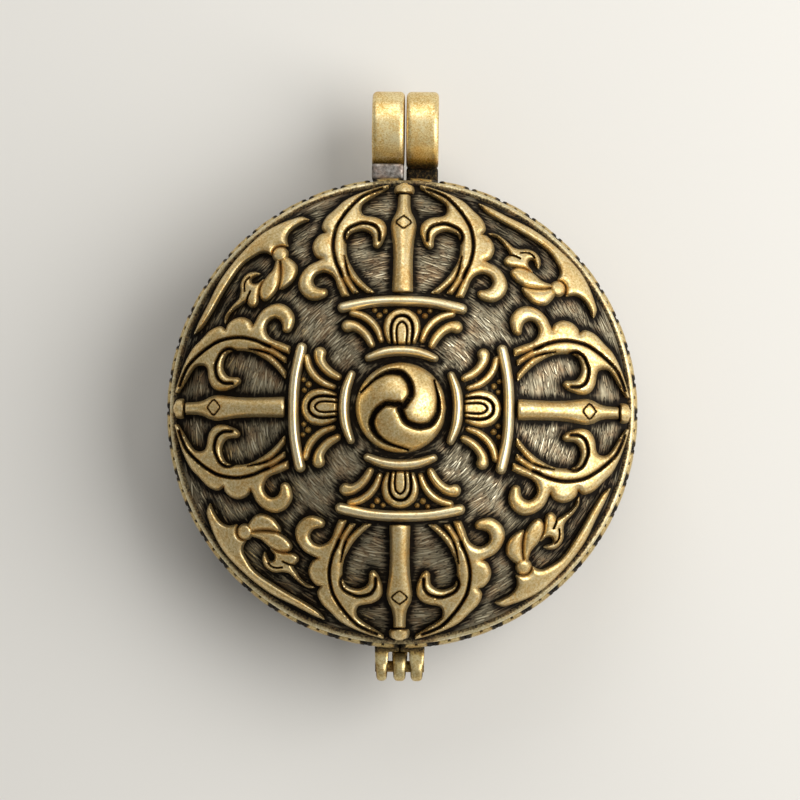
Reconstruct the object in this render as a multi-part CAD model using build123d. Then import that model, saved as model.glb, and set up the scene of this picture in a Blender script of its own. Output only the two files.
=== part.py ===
from build123d import *
import math
import os

# A round ghau amulet box: a hinged brass locket with a crossed vajra on its domed cover.
# Millimetres. The origin is the centre of the flat rest under the case, +Z points out of
# the domed front, +Y to the two hanging loops and -Y to the hinge.

# Shells
SEAM_RADIUS = 25.0      # widest, where the cover meets the case
BAND_DRAW = 0.5         # how far the side band draws in from the seam to its edge
BAND_BELLY = 0.1        # swell of the side band halfway up
CASE_BAND = 4.6         # height of the case's side band
COVER_BAND = 4.6        # height of the cover's side band
BACK_RISE = 3.4         # from the rest up to the case's side band
REST_RADIUS = 14.0      # flat that the box lies on
DOME_RADIUS = 36.0      # sphere of the cover's dome
WALL = 1.2
SEAM_GAP = 0.1

# Locating collar inside the case
COLLAR_WALL = 0.8
COLLAR_DEPTH = 2.6      # below the seam
COLLAR_REACH = 1.2      # above the seam, into the cover
COLLAR_CLEARANCE = 0.2

# Rim strip round the dome
RIM_WIDTH = 0.4
RIM_SEAT = 0.35         # depth of its rebate below the dome's edge
RIM_PROUD = 0.3         # above the dome's edge
RIM_CREST = 0.14        # width of its worn crest

# Film of solder under every soldered piece
SOLDER = 0.05

# Hinge
HINGE_STANDOFF = 2.0    # pin axis outside the seam
KNUCKLE_RADIUS = 1.55
CASE_KNUCKLE = 1.6      # width of the middle knuckle
COVER_KNUCKLE = 1.5     # width of each outer knuckle
KNUCKLE_GAP = 0.3
PIN_RADIUS = 0.6
PIN_SEAT_GAP = 0.02     # in the cover's knuckles, which hold it
PIN_RUN_GAP = 0.05      # in the case's knuckle, which turns on it
LEAF_RISE = 2.7         # how far a knuckle's leaf runs up its band
LEAF_CLEAR = 0.3        # leaf or loop foot to the seam

# Hanging loops
LOOP_RADIUS = 4.15
LOOP_BORE = 2.65        # radius of the cord hole
LOOP_WIDTH = 3.35
LOOP_GAP = 0.3          # between the two loops
LOOP_STANDOFF = 1.2     # solder foot between band and loop
LOOP_FOOT = 2.8         # height of the solder foot
LOOP_EDGE = 0.35        # chamfer

# Relief heights above the dome
PRONG_RISE = 1.15
SHAFT_RISE = 1.3
BAR_RISE = 1.5
LOTUS_RISE = 1.0
SCROLL_RISE = 0.85

# Bars and strands of the relief, in plan
FLANGE_WIDTH = 0.8
COLLAR_BAR_WIDTH = 0.78
UPPER_STRAND = 0.5
LOWER_STRAND = 0.7

# Hub with its three-fold whirl
HUB_RADIUS = 4.4
HUB_SKIRT = 0.8         # upright edge of the boss
HUB_RISE = 2.9          # crown of the boss above the dome
WHIRL_WIDTH = 0.4
WHIRL_DEPTH = 0.5
WHIRLS = 3

# The plan of the relief is drawn for a dome of this edge radius and follows the dome's edge
DRAWN_EDGE = 24.1
DRAWN_HUB = 4.4         # the whirl is drawn for this hub and follows its radius

# Levels and radii that follow from the sizes above
SEAM_Z = BACK_RISE + CASE_BAND
DOME_EDGE_Z = SEAM_Z + COVER_BAND
BAND_EDGE = SEAM_RADIUS - BAND_DRAW
DOME_EDGE = BAND_EDGE - RIM_WIDTH
DOME_CENTRE_Z = DOME_EDGE_Z - math.sqrt(DOME_RADIUS**2 - DOME_EDGE**2)
CROWN_Z = DOME_CENTRE_Z + DOME_RADIUS
CASE_BORE = BAND_EDGE - WALL
COLLAR_RADIUS = CASE_BORE - SOLDER
COVER_BORE = COLLAR_RADIUS + COLLAR_CLEARANCE
HINGE_Y = -SEAM_RADIUS - HINGE_STANDOFF
LOOP_Y = SEAM_RADIUS + LOOP_STANDOFF + LOOP_RADIUS
PLAN = DOME_EDGE / DRAWN_EDGE

# Outlines of the relief in plan, for the arm that points to +Y and the scroll to its right.
# Each run is a line or an arc through three points.
PRONG_RUNS = [
    [(1.7, 23.85), (5.1, 22.75), (7.6, 20.7)],
    [(7.6, 20.7), (8.5, 19.4), (8.1, 18.45)],
    [(8.1, 18.45), (9.4, 17.1), (8.42, 15.57)],
    [(8.42, 15.57), (10.6, 13.9), (9.9, 11.5)],
    [(9.9, 11.5), (8.8, 11.3), (7.83, 11.97)],
    [(7.83, 11.97), (9.2, 12.6)],
    [(9.2, 12.6), (8.7, 14.15), (7.2, 13.75)],
    [(7.2, 13.75), (6.17, 11.6)],
    [(6.17, 11.6), (4.5, 12.0)],
    [(4.5, 12.0), (5.9, 15.1), (5.75, 18.25)],
    [(5.75, 18.25), (4.4, 18.78), (3.2, 18.15)],
    [(3.2, 18.15), (2.75, 16.85)],
    [(2.75, 16.85), (1.87, 18.5), (2.6, 19.95)],
    [(2.6, 19.95), (4.3, 20.4)],
    [(4.3, 20.4), (4.5, 21.6)],
    [(4.5, 21.6), (1.7, 23.85)],
]
SHAFT_RUNS = [
    [(1.0, 12.15), (0.9, 15.8), (1.05, 17.8)],
    [(1.05, 17.8), (1.25, 19.1), (0.62, 21.0)],
    [(0.62, 21.0), (0.55, 22.8)],
    [(0.55, 22.8), (0.9, 23.05)],
    [(0.9, 23.05), (0.8, 23.95)],
]
FLANGE_LINE = [(-6.2, 10.4), (0, 11.3), (6.2, 10.4)]
COLLAR_LINE = [(-3.4, 5.17), (0, 6.0), (3.4, 5.17)]
PETAL_SIDE = [(1.3, 6.75), (1.72, 8.4), (0, 10.2)]
UPPER_STRAND_LINE = [(2.1, 6.9), (3.1, 8.8), (5.1, 9.8)]
LOWER_STRAND_LINE = [(3.1, 6.5), (4.1, 7.85), (5.75, 8.4)]
SCROLL_LEAF_RUNS = [
    [(7.9, 21.95), (15.4, 17.9), (20.3, 10.8)],
    [(20.3, 10.8), (20.0, 10.0)],
    [(20.0, 10.0), (19.1, 11.75), (17.2, 12.15)],
    [(17.2, 12.15), (16.2, 12.15)],
    [(16.2, 12.15), (15.45, 12.9), (16.2, 13.65)],
    [(16.2, 13.65), (16.4, 15.3), (15.5, 16.7)],
    [(15.5, 16.7), (7.9, 21.95)],
]
SCROLL_PETAL_RUNS = [
    [(16.2, 13.0), (12.4, 14.9)],
    [(12.4, 14.9), (11.25, 14.45)],
    [(11.25, 14.45), (12.2, 13.3), (13.6, 12.9)],
    [(13.6, 12.9), (12.5, 12.75)],
    [(12.5, 12.75), (13.5, 11.25), (15.2, 11.3)],
    [(15.2, 11.3), (16.2, 13.0)],
]
SCROLL_CURL_RUNS = [
    [(9.0, 18.65), (12.2, 16.8)],
    [(12.2, 16.8), (13.6, 16.6), (14.15, 15.25)],
    [(14.15, 15.25), (13.0, 15.8)],
    [(13.0, 15.8), (13.6, 14.1)],
    [(13.6, 14.1), (11.1, 15.15)],
    [(11.1, 15.15), (10.6, 15.65), (11.2, 16.1)],
    [(11.2, 16.1), (10.3, 17.4), (8.9, 18.4)],
    [(8.9, 18.4), (9.0, 18.65)],
]
# One groove of the whirl in two arcs: radius and turn in degrees, from the hub's middle out
WHIRL_RUNS = [[(0, 0), (1.3, 45), (2.65, 72)], [(2.65, 72), (3.4, 105), (4.7, 170)]]

# The four arms in order, each a quarter turn on from the last, with their prongs' names
ARMS = [
    ("top", "left", "right"),
    ("left", "lower", "upper"),
    ("bottom", "right", "left"),
    ("right", "upper", "lower"),
]
CORNERS = ["top_right", "top_left", "bottom_left", "bottom_right"]
QUARTER = 90


def dome_z(radius, lift=0.0):
    """Height of the dome, or of a sphere that much outside it, at a radius from its middle."""
    return DOME_CENTRE_Z + math.sqrt((DOME_RADIUS + lift) ** 2 - radius**2)


def dome_arc(radius, lift):
    """The dome's curve from a radius up to its crown, on a sphere that much outside it."""
    half = radius / 2
    return ThreePointArc((radius, dome_z(radius, lift)), (half, dome_z(half, lift)), (0, CROWN_Z + lift))


def dome_ball(lift):
    """The dome's whole sphere, grown by a lift."""
    return Pos(0, 0, DOME_CENTRE_Z) * Sphere(DOME_RADIUS + lift)


def follow(points):
    """Plan points moved out or in with the dome's edge."""
    return [(x * PLAN, y * PLAN) for x, y in points]


def run_edge(points):
    """A line, or an arc through three points."""
    return Line(*points) if len(points) == 2 else ThreePointArc(*points)


def plan_face(runs):
    """The flat face inside a closed row of runs."""
    return make_face([run_edge(follow(points)) for points in runs])


def mirrored(points):
    """Points on the other side of the arm, in reverse order."""
    return [(-x, y) for x, y in reversed(points)]


def arch_face(arc):
    """A pointed arch from one side's arc, closed across its foot."""
    return plan_face([arc, mirrored(arc), [(-arc[0][0], arc[0][1]), arc[0]]])


def strand_face(line, width):
    """A strand of even width along a curve in plan."""
    return trace(run_edge(line), width)


def relief(face, rise):
    """A plan face raised on the dome, from the solder film to a rise above the dome."""
    prism = extrude(Pos(0, 0, SEAM_Z) * face, CROWN_Z + HUB_RISE - SEAM_Z)
    return prism & dome_ball(rise) - dome_ball(SOLDER)


def turned(piece, turn):
    """A piece turned about the box's middle."""
    return Rot(0, 0, turn) * piece


def revolved(edges):
    """A turned piece from a closed profile drawn in radius and height."""
    return revolve(Plane.XZ * make_face(edges), Axis.Z)


def band_arc(low, high):
    """The side band's swelling edge between two points of the profile."""
    middle = ((low[0] + high[0]) / 2 + BAND_BELLY, (low[1] + high[1]) / 2)
    return ThreePointArc(low, middle, high)


def front_cover():
    """Domed cover with its side band, open below."""
    seam_z = SEAM_Z + SEAM_GAP / 2
    shelf_z = DOME_EDGE_Z - RIM_SEAT
    inner_z = dome_z(COVER_BORE, -WALL)
    return revolved([
        dome_arc(DOME_EDGE, 0),
        Line((DOME_EDGE, DOME_EDGE_Z), (DOME_EDGE, shelf_z)),
        Line((DOME_EDGE, shelf_z), (BAND_EDGE, shelf_z)),
        band_arc((BAND_EDGE, shelf_z), (SEAM_RADIUS, seam_z)),
        Line((SEAM_RADIUS, seam_z), (COVER_BORE, seam_z)),
        Line((COVER_BORE, seam_z), (COVER_BORE, inner_z)),
        dome_arc(COVER_BORE, -WALL),
        Line((0, CROWN_Z - WALL), (0, CROWN_Z)),
    ])


def back_case():
    """Shallow case with a flat rest, a swept back and its side band, open above."""
    seam_z = SEAM_Z - SEAM_GAP / 2
    reach = BAND_EDGE - REST_RADIUS
    sweep_radius = (reach**2 + BACK_RISE**2) / (2 * BACK_RISE)

    def back_point(radius, inset):
        drop = math.sqrt((sweep_radius - inset) ** 2 - (radius - REST_RADIUS) ** 2)
        return (radius, sweep_radius - drop)

    outer_middle = back_point(REST_RADIUS + reach / 2, 0)
    inner_middle = back_point((REST_RADIUS + CASE_BORE) / 2, WALL)
    inner_corner = back_point(CASE_BORE, WALL)
    return revolved([
        Line((0, 0), (REST_RADIUS, 0)),
        ThreePointArc((REST_RADIUS, 0), outer_middle, (BAND_EDGE, BACK_RISE)),
        band_arc((BAND_EDGE, BACK_RISE), (SEAM_RADIUS, seam_z)),
        Line((SEAM_RADIUS, seam_z), (CASE_BORE, seam_z)),
        Line((CASE_BORE, seam_z), inner_corner),
        ThreePointArc(inner_corner, inner_middle, (REST_RADIUS, WALL)),
        Line((REST_RADIUS, WALL), (0, WALL)),
        Line((0, WALL), (0, 0)),
    ])


def seat_collar():
    """Ring soldered inside the case that stands up into the cover."""
    inner = COLLAR_RADIUS - COLLAR_WALL
    low = SEAM_Z - COLLAR_DEPTH
    high = SEAM_Z + COLLAR_REACH
    return revolved(Polyline(
        (inner, low), (COLLAR_RADIUS, low), (COLLAR_RADIUS, high), (inner, high), close=True))


def rim_strip():
    """Ridged strip in the rebate round the dome's edge."""
    low = DOME_EDGE_Z - RIM_SEAT + SOLDER
    crest = DOME_EDGE_Z + RIM_PROUD
    inner = DOME_EDGE + SOLDER
    middle = (inner + BAND_EDGE) / 2
    return revolved(Polyline(
        (inner, low), (BAND_EDGE, low), (BAND_EDGE, DOME_EDGE_Z),
        (middle + RIM_CREST / 2, crest), (middle - RIM_CREST / 2, crest),
        (inner, DOME_EDGE_Z), close=True))


def band_envelope():
    """Both side bands as one solid, grown by the solder film, to seat what is soldered on."""
    edge = BAND_EDGE + SOLDER
    seam = (SEAM_RADIUS + SOLDER, SEAM_Z)
    return revolved([
        Line((0, BACK_RISE), (edge, BACK_RISE)),
        band_arc((edge, BACK_RISE), seam),
        band_arc(seam, (edge, DOME_EDGE_Z)),
        Line((edge, DOME_EDGE_Z), (0, DOME_EDGE_Z)),
        Line((0, DOME_EDGE_Z), (0, BACK_RISE)),
    ])


def across(radius, width, place):
    """A rod of a width along X, centred at a place."""
    return Pos(*place) * Rot(0, QUARTER, 0) * Cylinder(radius, width)


def side_plate(points, width, middle_x):
    """A plate of a width along X from its profile in Y and Z."""
    profile = Plane.YZ * make_face(Polyline(*points, close=True))
    return extrude(Pos(middle_x, 0, 0) * profile, width / 2, both=True)


def knuckle(middle_x, width, side, pin_gap):
    """A hinge knuckle with its leaf on the cover's band, side 1, or the case's, side -1."""
    centre = (middle_x, HINGE_Y, SEAM_Z)
    root_y = -BAND_EDGE + WALL
    leaf = side_plate(
        [(HINGE_Y, SEAM_Z + side * KNUCKLE_RADIUS), (root_y, SEAM_Z + side * LEAF_RISE),
         (root_y, SEAM_Z + side * LEAF_CLEAR), (HINGE_Y, SEAM_Z + side * LEAF_CLEAR)],
        width, middle_x)
    body = across(KNUCKLE_RADIUS, width, centre) + leaf - band_envelope()
    return body - across(PIN_RADIUS + pin_gap, width, centre)


def hanging_loop(middle_x, side):
    """A strap loop with its solder foot on the cover's band, side 1, or the case's, side -1."""
    centre = (middle_x, LOOP_Y, SEAM_Z)
    ring = across(LOOP_RADIUS, LOOP_WIDTH, centre)
    ring = chamfer(ring.edges().filter_by(GeomType.CIRCLE), LOOP_EDGE)
    root_y = BAND_EDGE - WALL
    head_y = LOOP_Y - LOOP_BORE
    foot = side_plate(
        [(root_y, SEAM_Z + side * LEAF_CLEAR), (head_y, SEAM_Z + side * LEAF_CLEAR),
         (head_y, SEAM_Z + side * LOOP_FOOT), (root_y, SEAM_Z + side * LOOP_FOOT)],
        LOOP_WIDTH - 2 * LOOP_EDGE, middle_x)
    return ring + foot - band_envelope() - across(LOOP_BORE, LOOP_WIDTH, centre)


def hinge_pin():
    """Pin through all three knuckles, held in the cover's two."""
    length = CASE_KNUCKLE + 2 * (KNUCKLE_GAP + COVER_KNUCKLE)
    return across(PIN_RADIUS, length, (0, HINGE_Y, SEAM_Z))


def hub_solid(inset):
    """The boss, an upright skirt under a round crown, drawn in by an inset."""
    radius = HUB_RADIUS - inset
    crown = CROWN_Z + HUB_RISE
    skirt = dome_z(HUB_RADIUS) + HUB_SKIRT
    rise = crown - skirt
    crown_radius = (HUB_RADIUS**2 + rise**2) / (2 * rise)
    ball = Pos(0, 0, crown - crown_radius) * Sphere(crown_radius - inset)
    return Pos(0, 0, skirt) * Cylinder(radius, 2 * rise) & ball


def hub_boss():
    """Round boss in the middle with a whirl of three commas cut into it."""
    grow = HUB_RADIUS / DRAWN_HUB
    groove = Sketch()
    for run in WHIRL_RUNS:
        points = [Vector(grow * radius, 0).rotate(Axis.Z, turn) for radius, turn in run]
        groove += strand_face(points, WHIRL_WIDTH)
    whirl = Sketch()
    for copy in range(WHIRLS):
        whirl += Rot(0, 0, copy * 360 / WHIRLS) * groove
    cut = extrude(Pos(0, 0, SEAM_Z) * whirl, CROWN_Z + HUB_RISE) - hub_solid(WHIRL_DEPTH)
    return hub_solid(0) - dome_ball(SOLDER) - cut


def bar(line, width):
    """A curved bar across an arm."""
    return relief(strand_face(follow(line), width), BAR_RISE)


def lotus():
    """Petals between an arm's two bars: a middle petal and two strands on each side."""
    face = arch_face(PETAL_SIDE)
    for side in (1, -1):
        for line, width in ((UPPER_STRAND_LINE, UPPER_STRAND), (LOWER_STRAND_LINE, LOWER_STRAND)):
            face += strand_face(follow([(side * x, y) for x, y in line]), width)
    return relief(face, LOTUS_RISE)


def shaft():
    """Middle prong of an arm, with its swelling and its capped tip."""
    tip = SHAFT_RUNS[-1][-1]
    foot = SHAFT_RUNS[0][0]
    runs = SHAFT_RUNS + [[tip, (-tip[0], tip[1])]]
    runs += [mirrored(points) for points in reversed(SHAFT_RUNS)]
    return relief(plan_face(runs + [[(-foot[0], foot[1]), foot]]), SHAFT_RISE)


def prong():
    """Flame-edged side prong on the right of an arm."""
    return relief(plan_face(PRONG_RUNS), PRONG_RISE)


def scroll():
    """Leaf scroll between two arms: the rim leaf with its ball, two petals and a curl."""
    face = plan_face(SCROLL_LEAF_RUNS) + plan_face(SCROLL_PETAL_RUNS) + plan_face(SCROLL_CURL_RUNS)
    return relief(face, SCROLL_RISE)


def write(name, piece):
    """Save one piece under its node's name."""
    piece.label = name
    export_step(piece, os.path.join("parts", name + ".step"))


def main():
    """Build every piece and save it."""
    os.makedirs("parts", exist_ok=True)
    loop_x = (LOOP_WIDTH + LOOP_GAP) / 2
    outer_x = CASE_KNUCKLE / 2 + KNUCKLE_GAP + COVER_KNUCKLE / 2
    write("back_case", back_case())
    write("seat_collar", seat_collar())
    write("case_knuckle", knuckle(0, CASE_KNUCKLE, -1, PIN_RUN_GAP))
    write("case_loop", hanging_loop(loop_x, -1))
    write("front_cover", front_cover())
    write("rim_strip", rim_strip())
    write("cover_knuckle_left", knuckle(-outer_x, COVER_KNUCKLE, 1, PIN_SEAT_GAP))
    write("cover_knuckle_right", knuckle(outer_x, COVER_KNUCKLE, 1, PIN_SEAT_GAP))
    write("hinge_pin", hinge_pin())
    write("cover_loop", hanging_loop(-loop_x, 1))
    write("hub_boss", hub_boss())
    right_prong = prong()
    left_prong = mirror(right_prong, Plane.YZ)
    repeats = {
        "flange_bar": bar(FLANGE_LINE, FLANGE_WIDTH),
        "collar_bar": bar(COLLAR_LINE, COLLAR_BAR_WIDTH),
        "lotus": lotus(),
        "shaft": shaft(),
    }
    for index, (arm, left_name, right_name) in enumerate(ARMS):
        turn = index * QUARTER
        for name, piece in repeats.items():
            write(f"{name}_{arm}", turned(piece, turn))
        write(f"prong_{arm}_{left_name}", turned(left_prong, turn))
        write(f"prong_{arm}_{right_name}", turned(right_prong, turn))
    corner_scroll = scroll()
    for index, corner in enumerate(CORNERS):
        write(f"scroll_{corner}", turned(corner_scroll, index * QUARTER))


main()
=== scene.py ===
"""Looks of a round ghau amulet box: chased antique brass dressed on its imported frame.

Plan sizes are millimetres in the frame of the part: +Z out of the domed front, +Y to the loops.
"""
import logging
import math
from dataclasses import dataclass, field
from enum import Enum

import bpy
import numpy as np
from mathutils import Matrix, Vector
from mathutils.geometry import delaunay_2d_cdt


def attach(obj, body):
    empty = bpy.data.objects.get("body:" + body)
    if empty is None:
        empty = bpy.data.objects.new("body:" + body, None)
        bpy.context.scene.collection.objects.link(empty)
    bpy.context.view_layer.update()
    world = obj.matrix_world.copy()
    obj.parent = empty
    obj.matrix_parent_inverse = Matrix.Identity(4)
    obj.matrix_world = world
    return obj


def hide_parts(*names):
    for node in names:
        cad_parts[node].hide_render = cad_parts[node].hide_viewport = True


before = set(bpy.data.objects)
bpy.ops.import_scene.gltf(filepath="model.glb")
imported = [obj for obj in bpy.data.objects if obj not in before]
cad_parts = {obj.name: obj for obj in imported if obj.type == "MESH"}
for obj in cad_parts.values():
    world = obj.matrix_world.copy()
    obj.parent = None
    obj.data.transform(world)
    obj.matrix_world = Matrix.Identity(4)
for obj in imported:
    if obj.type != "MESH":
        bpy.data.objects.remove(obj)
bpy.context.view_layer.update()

LOG = logging.getLogger("ghau")
MM = 0.001
SEAM_Z = 8.0
SEAM_GAP = 0.05
Point = tuple[float, float]


class Body(Enum):
    """The two halves that the hinge joins."""

    CASE = "case"
    COVER = "cover"


class Arm(Enum):
    """The vajra's arms: turn in degrees, then the names of its left and right prongs."""

    TOP = (0, "left", "right")
    LEFT = (90, "lower", "upper")
    BOTTOM = (180, "right", "left")
    RIGHT = (270, "upper", "lower")


class Corner(Enum):
    """The corners between the arms and their turn in degrees."""

    TOP_RIGHT = 0
    TOP_LEFT = 90
    BOTTOM_LEFT = 180
    BOTTOM_RIGHT = 270


# Plan curves


def flowing(points: list[Point], step: float) -> np.ndarray:
    """Runs a smooth curve through points.

    Args:
        points: Points that the curve passes, in order.
        step: Distance between the samples.

    Returns:
        The sampled curve, both ends included.
    """
    given = np.asarray(points, float)
    padded = np.vstack([2 * given[0] - given[1], given, 2 * given[-1] - given[-2]])
    samples = []
    for before, start, end, after in zip(padded, padded[1:], padded[2:], padded[3:]):
        spans = [np.linalg.norm(b - a) ** 0.5 for a, b in ((before, start), (start, end), (end, after))]
        chord = end - start
        leave = chord + spans[1] * ((start - before) / spans[0] - (end - before) / (spans[0] + spans[1]))
        arrive = chord + spans[1] * ((after - end) / spans[2] - (after - start) / (spans[1] + spans[2]))
        count = max(1, round(np.linalg.norm(chord) / step))
        t = (np.arange(count) / count)[:, None]
        samples.append(
            (2 * t**3 - 3 * t**2 + 1) * start + (t**3 - 2 * t**2 + t) * leave
            + (3 * t**2 - 2 * t**3) * end + (t**3 - t**2) * arrive)
    return np.vstack(samples + [given[-1:]])


def closed_loop(runs: list[list[Point]], step: float) -> np.ndarray:
    """Joins smooth runs into one closed outline, with a corner where two runs meet.

    Args:
        runs: Runs in order round the outline, each starting where the last one ends.
        step: Distance between the samples.

    Returns:
        The outline's points, turning to the left.
    """
    loop = np.vstack([flowing(run, step)[:-1] for run in runs])
    x, y = loop.T
    area = np.sum(x * np.roll(y, -1) - y * np.roll(x, -1))
    return loop if area > 0 else loop[::-1]


def mirrored(points: list[Point]) -> list[Point]:
    """Points on the other side of the arm, in reverse order."""
    return [(-x, y) for x, y in reversed(points)]


def turned(plan: np.ndarray, degrees: float) -> np.ndarray:
    """Plan points turned about the middle."""
    angle = math.radians(degrees)
    return plan @ np.array([[math.cos(angle), math.sin(angle)], [-math.sin(angle), math.cos(angle)]])


def nearest(points: np.ndarray, line: np.ndarray, closed: bool = False) -> tuple[np.ndarray, np.ndarray]:
    """Measures how far points lie from a line, and where along it.

    Args:
        points: Points to measure from.
        line: Corner points of the line.
        closed: Whether the line's end joins its start.

    Returns:
        The shortest distance of each point, and the share of the line up to the place it is measured to.
    """
    ends = np.roll(line, -1, axis=0) if closed else line[1:]
    best = np.full(len(points), np.inf)
    course = np.zeros(len(points))
    for index, (start, end) in enumerate(zip(line, ends)):
        along = end - start
        share = np.clip((points - start) @ along / max(along @ along, 1e-12), 0, 1)
        gap = points - start - share[:, None] * along
        square = np.einsum("ij,ij->i", gap, gap)
        closer = square < best
        best[closer] = square[closer]
        course[closer] = (index + share[closer]) / len(ends)
    return np.sqrt(best), course


def reach(points: np.ndarray, line: np.ndarray, closed: bool = False) -> np.ndarray:
    """The shortest distance of each point to a line."""
    return nearest(points, line, closed)[0]


def inside(points: np.ndarray, loop: np.ndarray) -> np.ndarray:
    """Tells which points lie inside an outline.

    Args:
        points: Points to test.
        loop: Points of the closed outline.

    Returns:
        One truth value for each point.
    """
    x, y = points.T
    within = np.zeros(len(points), bool)
    for (x0, y0), (x1, y1) in zip(loop, np.roll(loop, -1, axis=0)):
        if y0 != y1:
            within ^= ((y0 > y) != (y1 > y)) & (x < (x1 - x0) * (y - y0) / (y1 - y0) + x0)
    return within


def ease(share: np.ndarray) -> np.ndarray:
    """A soft step from 0 to 1."""
    held = np.clip(share, 0, 1)
    return held * held * (3 - 2 * held)


def rounded(share: np.ndarray) -> np.ndarray:
    """A quarter of a circle from 0 to 1, steep at its start."""
    return np.sqrt(1 - (1 - np.clip(share, 0, 1)) ** 2)


def groove(gap: np.ndarray, half_width: np.ndarray | float) -> np.ndarray:
    """How far a line is cut open at a distance from it: 1 on its floor, falling to 0 at its edges."""
    return 1 - ease((gap / half_width - 0.3) / 0.7)


def from_middle(points: np.ndarray) -> np.ndarray:
    """How far points lie from the axis of the box."""
    return np.hypot(points[:, 0], points[:, 1])


def ribbon(line: list[Point], half_widths: list[float]) -> list[list[Point]]:
    """Outlines a strand that swells and tapers along a curve.

    Args:
        line: Points of the strand's middle line.
        half_widths: Half its width at each of those points.

    Returns:
        The closed outline as one run round both rounded ends.
    """
    middle = np.asarray(line, float)
    ahead = np.gradient(middle, axis=0)
    ahead /= np.linalg.norm(ahead, axis=1)[:, None]
    across = np.stack([-ahead[:, 1], ahead[:, 0]], axis=1)
    side = across * np.asarray(half_widths)[:, None]
    swing = np.radians([-60, -30, 0, 30, 60])[:, None]
    head = middle[-1] + half_widths[-1] * (ahead[-1] * np.cos(swing) + across[-1] * np.sin(swing))
    tail = middle[0] - half_widths[0] * (ahead[0] * np.cos(swing) + across[0] * np.sin(swing))
    ring = np.vstack([middle - side, head, (middle + side)[::-1], tail, (middle - side)[:1]])
    return [[tuple(point) for point in ring]]


def disc(centre: Point, radius: float) -> list[list[Point]]:
    """The closed outline of a round form, as one run."""
    turns = np.linspace(0, 2 * math.pi, 17)
    return [[(centre[0] + radius * math.cos(t), centre[1] + radius * math.sin(t)) for t in turns]]


# The dome and what is carved on it


@dataclass(frozen=True)
class Dome:
    """The sphere of the cover that carries all of the relief."""

    radius: float = 36.0
    edge: float = 24.1
    edge_z: float = 12.6

    @property
    def centre_z(self) -> float:
        """Height of the sphere's middle."""
        return self.edge_z - math.sqrt(self.radius**2 - self.edge**2)

    def over(self, radius: np.ndarray | float, lift: float = 0.0) -> np.ndarray:
        """Height of places at a radius that stand above the dome by a lift."""
        return self.centre_z + np.sqrt((self.radius + lift) ** 2 - radius**2)

    def height(self, plan: np.ndarray, lift: np.ndarray | float = 0.0) -> np.ndarray:
        """Height of points in plan, each lifted above the dome."""
        return self.centre_z + np.sqrt((self.radius + lift) ** 2 - np.sum(plan**2, axis=1))


DOME = Dome()


@dataclass(frozen=True)
class Cut:
    """An engraved line: its course, half width, depth, and how much of its width is left at its end."""

    line: list[Point]
    half_width: float
    depth: float
    closed: bool = False
    narrowed: float = 1.0

    def opened(self, points: np.ndarray, step: float) -> tuple[np.ndarray, np.ndarray]:
        """Tells how far the line is cut open at points.

        Args:
            points: Points in plan.
            step: Distance between samples along the line.

        Returns:
            1 on the line's floor, falling to 0 at its edges, and how far each point lies from the line.
        """
        gap, course = nearest(points, flowing(self.line + self.line[:1] if self.closed else self.line, step))
        half = self.half_width * (1 + (self.narrowed - 1) * ease((course - 0.45) / 0.55))
        return groove(gap, half), gap


@dataclass
class Carving:
    """A carved form before it is set on the dome: plan, lift over the dome, wear and faces."""

    plan: np.ndarray
    lift: np.ndarray
    wear: np.ndarray
    faces: list[tuple[int, ...]]

    @staticmethod
    def gathered(parts: list["Carving"]) -> "Carving":
        """Puts several forms into one piece.

        Args:
            parts: The forms.

        Returns:
            One carving with all of them.
        """
        starts = np.cumsum([0] + [len(part.plan) for part in parts])
        faces = [tuple(int(start) + i for i in face)
                 for start, part in zip(starts, parts) for face in part.faces]
        return Carving(
            np.vstack([part.plan for part in parts]),
            np.concatenate([part.lift for part in parts]),
            np.concatenate([part.wear for part in parts]), faces)

    def set_on(self, name: str, degrees: float, flipped: bool = False) -> bpy.types.Object:
        """Makes one copy of the form on the dome.

        Args:
            name: Name of the new piece.
            degrees: Turn about the dome's middle.
            flipped: Whether it is the mirror image across the arm.

        Returns:
            The new piece, with its own mesh.
        """
        plan = self.plan * np.array([-1.0, 1.0]) if flipped else self.plan
        plan = turned(plan, degrees)
        faces = [face[::-1] for face in self.faces] if flipped else self.faces
        places = np.column_stack([plan, DOME.height(plan, self.lift)])
        return mesh_piece(name, places, faces, self.wear)


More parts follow.
